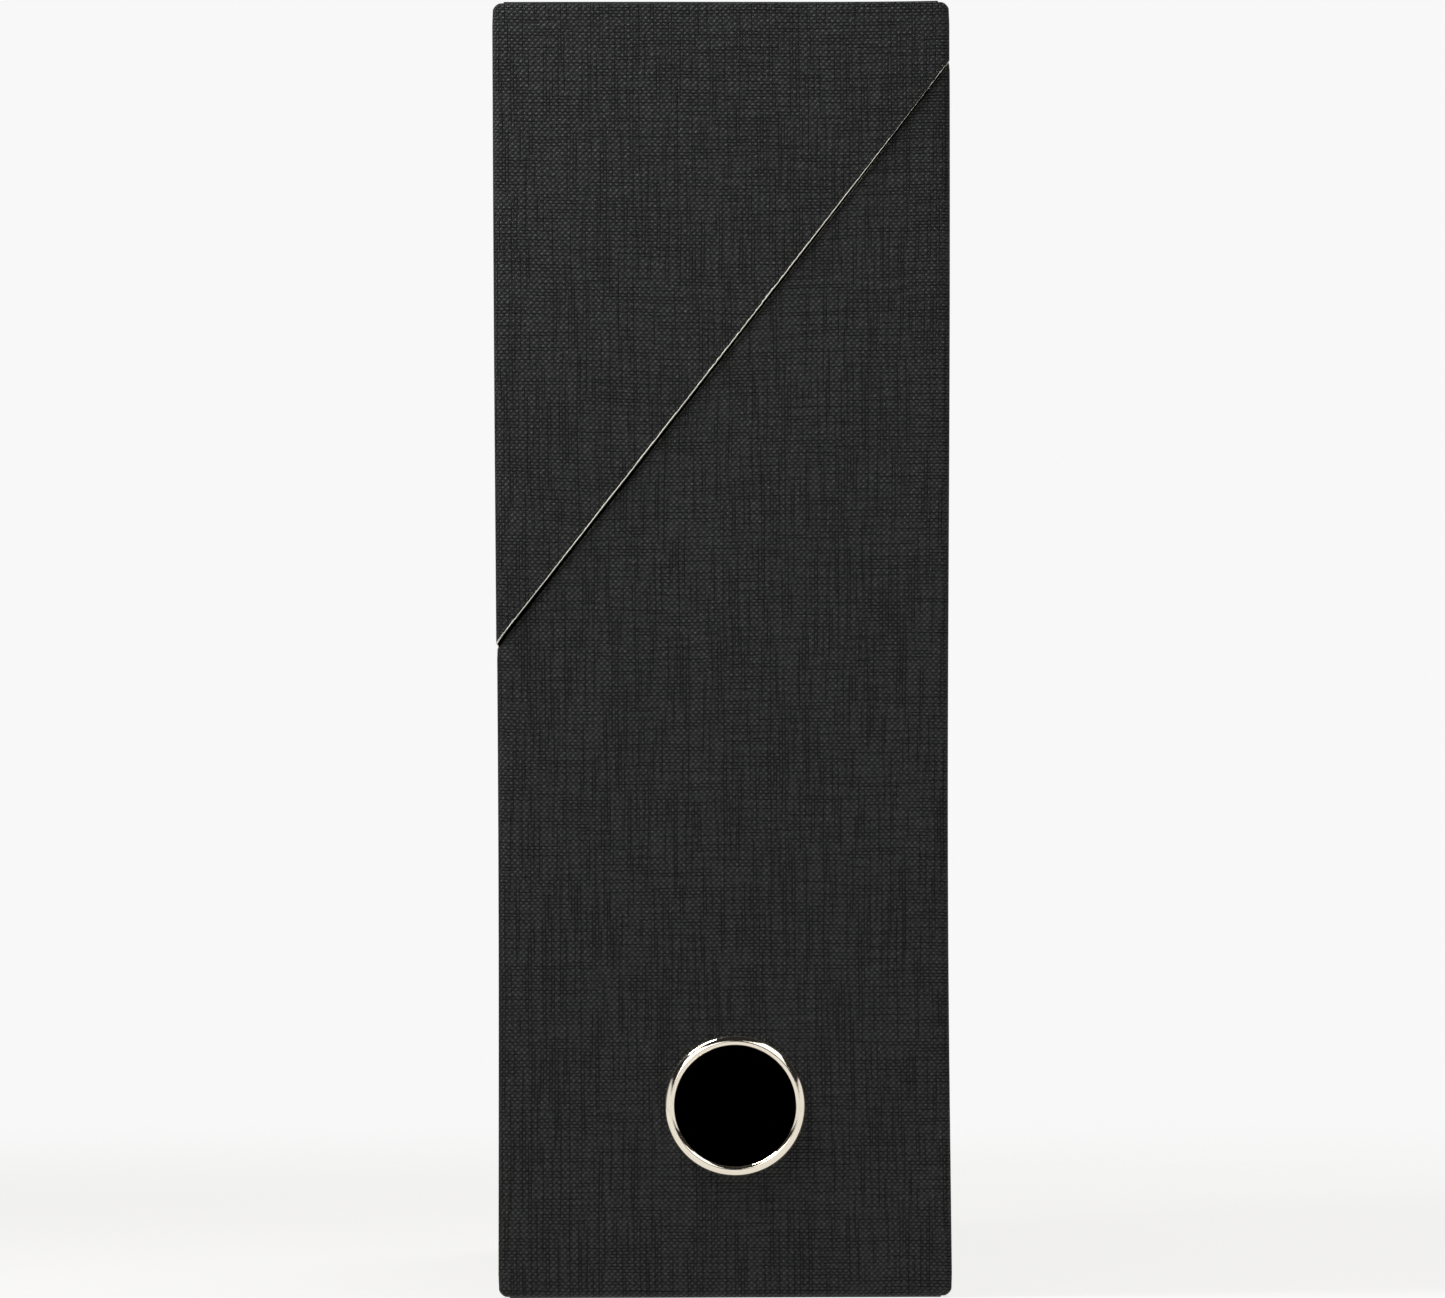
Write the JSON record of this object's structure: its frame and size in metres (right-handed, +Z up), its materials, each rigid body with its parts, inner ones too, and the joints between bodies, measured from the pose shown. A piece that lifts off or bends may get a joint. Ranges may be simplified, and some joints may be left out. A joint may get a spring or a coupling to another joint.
{
  "type": "transfer box",
  "caption": "Rigid board box for filed papers with a slanted flip-top lid hinged along one side and a metal finger ring low on its spine.",
  "frame": {"origin": "centre of the base, on the face that the box stands on", "axes": "+Z up, +X across the spine from the hinge side to the far side, +Y from the spine to the rear"},
  "size_m": [0.12, 0.2561, 0.34],
  "materials": {
    "linen_paper": "black, linen-embossed, satin, with a cream core at cut edges",
    "greyboard": "raw, matt, with flecks",
    "gummed_tape": "brown kraft, matt",
    "lining_paper": "black, uncoated, matt",
    "hinge_cloth": "black woven book cloth, matt",
    "nickel": "bright nickel plate"
  },
  "bodies": {
    "body": {"base_board": "greyboard", "front_board": "greyboard", "rear_board": "greyboard", "hinge_side_board": "greyboard", "far_side_board": "greyboard", "body_corner_stays": "gummed_tape", "base_edge_stays": "gummed_tape", "body_wrap_paper": "linen_paper", "base_sheet": "linen_paper", "body_wall_lining": "lining_paper", "base_lining": "lining_paper", "hinge_tape_lower_leaf": "hinge_cloth", "finger_ring": "nickel", "finger_ring_washer": "nickel"},
    "lid": {"lid_top_board": "greyboard", "lid_front_board": "greyboard", "lid_rear_board": "greyboard", "lid_hinge_side_board": "greyboard", "lid_lip_board": "greyboard", "lid_corner_stays": "gummed_tape", "lid_edge_stays": "gummed_tape", "lid_wrap_paper": "linen_paper", "lid_top_sheet": "linen_paper", "lid_wall_lining": "lining_paper", "lid_top_lining": "lining_paper", "hinge_tape_upper_leaf": "hinge_cloth"}
  },
  "joints": [
    {"name": "lid_hinge", "type": "hinge", "parent": "body", "child": "lid", "pos_m": [-0.06, 0, 0.171], "axis": [0, -1, 0], "range_deg": [0, 178]}
  ]
}
